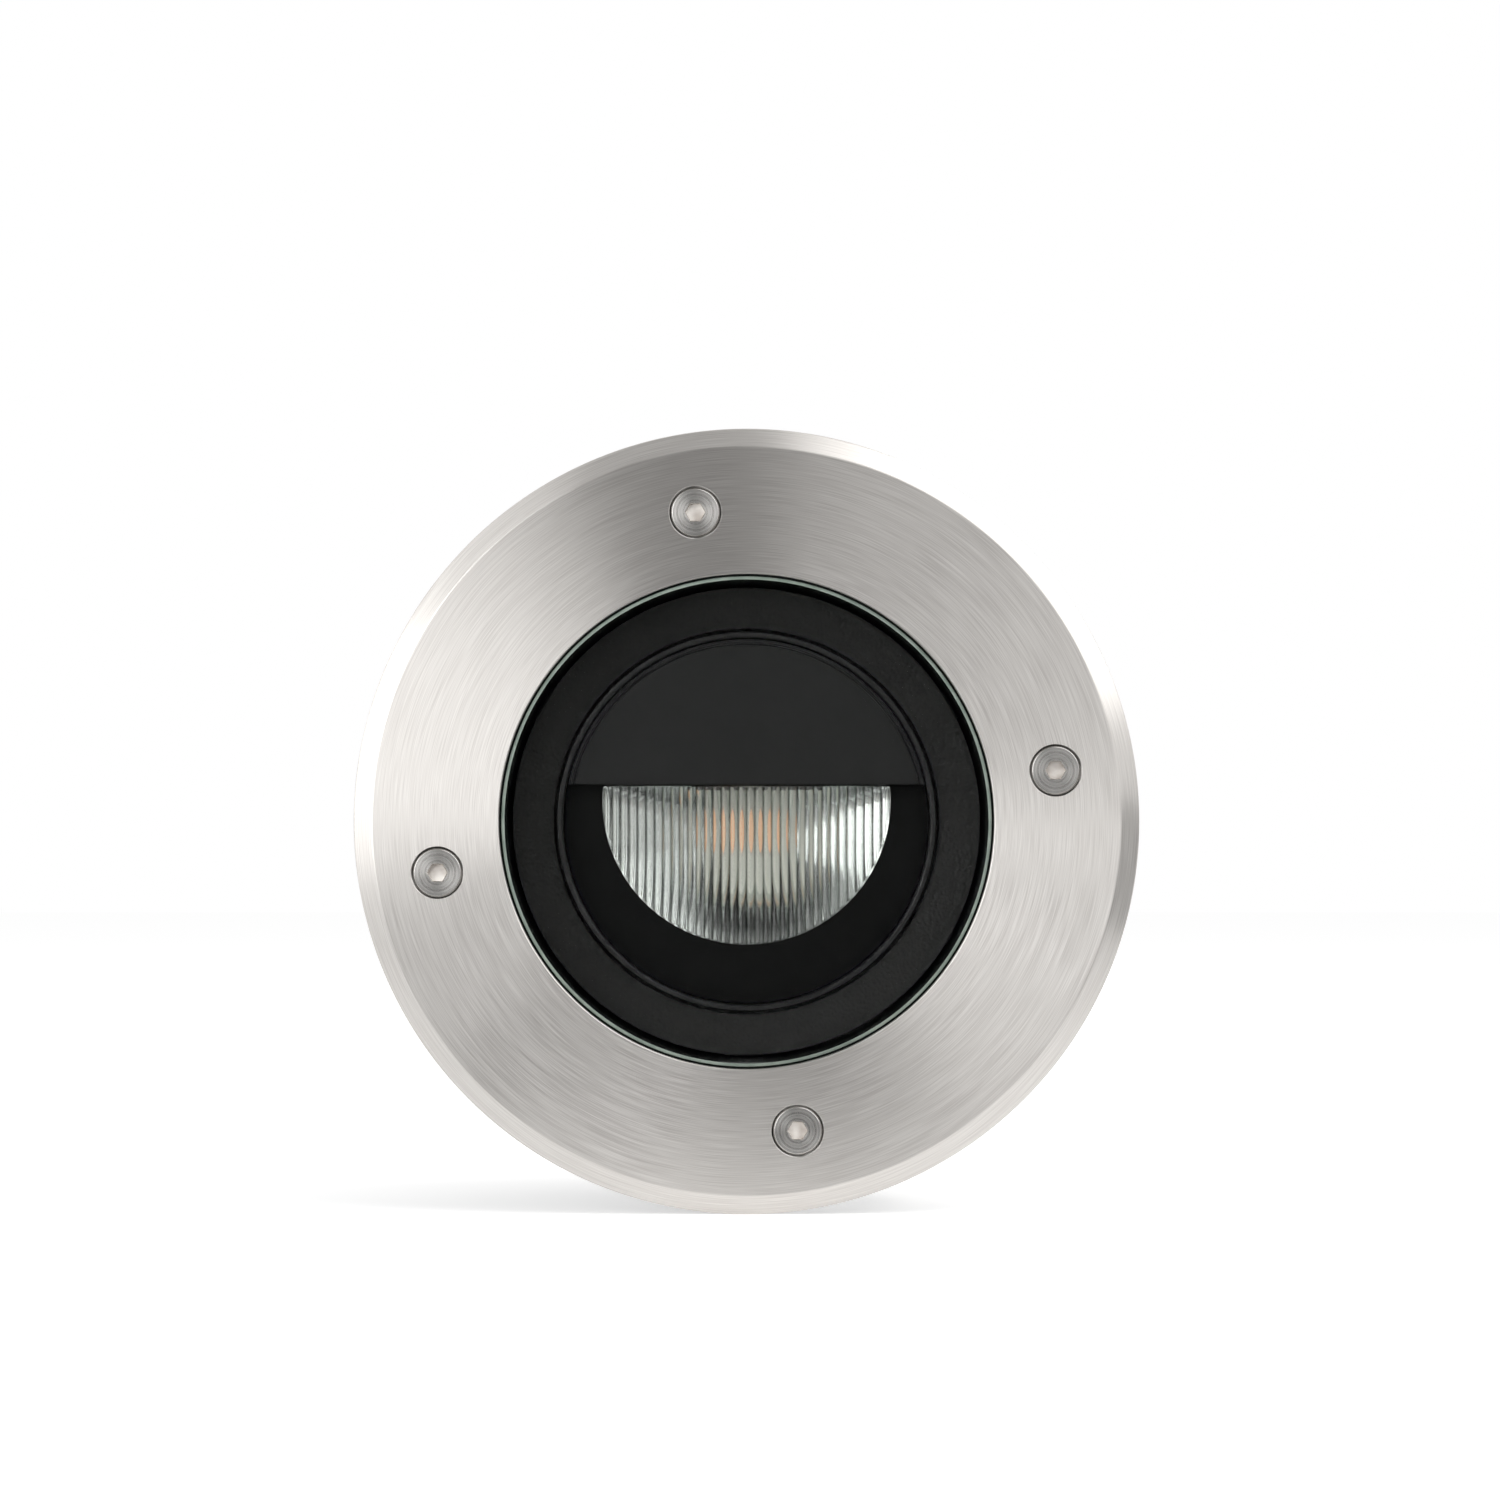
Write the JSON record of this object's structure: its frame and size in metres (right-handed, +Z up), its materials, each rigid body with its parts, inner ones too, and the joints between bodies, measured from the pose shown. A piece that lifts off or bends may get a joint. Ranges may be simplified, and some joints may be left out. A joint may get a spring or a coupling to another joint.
{
  "type": "recessed wall washer light",
  "caption": "Round recessed wall washer light with a stainless bezel, stepped glass, a turning half-moon lens optic and a finned pot with retaining springs.",
  "frame": {"origin": "centre of the bezel's flat back face, which lies on the wall surface, on the light's main axis", "axes": "+Y runs along the main axis into the wall, so the light shines towards -Y; +Z is up as the optic stands, with the shield above the window; +X is to the right seen from the front"},
  "size_m": [0.185, 0.1397, 0.185],
  "materials": {
    "brushed_stainless": "satin",
    "plain_steel": "satin",
    "clear_glass": "gloss",
    "grey_silicone": "matte",
    "cast_coating": "matte",
    "grained_black": "matte",
    "satin_black_metal": "satin",
    "satin_black_plastic": "satin",
    "clear_lens": "gloss",
    "mirror_aluminium": "polished",
    "bare_aluminium": "satin",
    "led_phosphor": "satin",
    "white_board": "satin",
    "white_plastic": "matte",
    "grey_pad": "matte",
    "bronze": "satin",
    "spring_steel": "satin",
    "black_rubber": "matte",
    "nickel_brass": "satin",
    "white_sheath": "matte",
    "brown_sheath": "matte",
    "blue_sheath": "matte",
    "green_sheath": "matte",
    "green_board": "matte"
  },
  "bodies": {
    "light_body": {"bezel_ring": "brushed_stainless", "bezel_screw_1": "plain_steel", "bezel_screw_2": "plain_steel", "bezel_screw_3": "plain_steel", "bezel_screw_4": "plain_steel", "front_glass": "clear_glass", "glass_gasket": "grey_silicone", "trim_plate": "grained_black", "housing": "cast_coating", "carrier_plate": "bare_aluminium", "carrier_screw_1": "plain_steel", "carrier_screw_2": "plain_steel", "carrier_screw_3": "plain_steel", "swivel_ring": "bronze", "wave_washer": "spring_steel", "stop_pin": "plain_steel", "led_socket": "white_plastic", "led_cable_rear": "white_sheath", "driver_base": "satin_black_plastic", "driver_case": "white_plastic", "driver_board": "green_board", "driver_screw_1": "plain_steel", "driver_screw_2": "plain_steel", "terminal_block": "white_plastic", "terminal_block_screw": "plain_steel", "mains_lead_line": "brown_sheath", "mains_lead_neutral": "blue_sheath", "earth_lead": "green_sheath", "earth_screw": "nickel_brass", "gland_body": "nickel_brass", "gland_oring": "black_rubber", "gland_locknut": "nickel_brass", "gland_seal": "black_rubber", "gland_cap_nut": "nickel_brass", "vent_oring": "black_rubber", "vent_plug": "nickel_brass", "retaining_spring_1": "spring_steel", "retaining_spring_2": "spring_steel", "retaining_spring_3": "spring_steel", "spring_screw_1": "plain_steel", "spring_screw_2": "plain_steel", "spring_screw_3": "plain_steel"},
    "optic": {"optic_cup": "satin_black_metal", "window_mask": "satin_black_plastic", "mask_screw_1": "plain_steel", "mask_screw_2": "plain_steel", "light_shield": "satin_black_metal", "ribbed_lens": "clear_lens", "reflector": "mirror_aluminium", "thermal_pad": "grey_pad", "led_board": "white_board", "led_emitter": "led_phosphor", "led_holder": "white_plastic", "led_holder_screw_1": "plain_steel", "led_holder_screw_2": "plain_steel", "retaining_clip": "spring_steel", "led_cable_front": "white_sheath", "led_plug": "white_plastic"}
  },
  "joints": [
    {"name": "optic_swivel", "type": "hinge", "parent": "light_body", "child": "optic", "pos_m": [0, 0.0486, 0], "axis": [0, 1, 0], "range_deg": [-165, 165]}
  ]
}
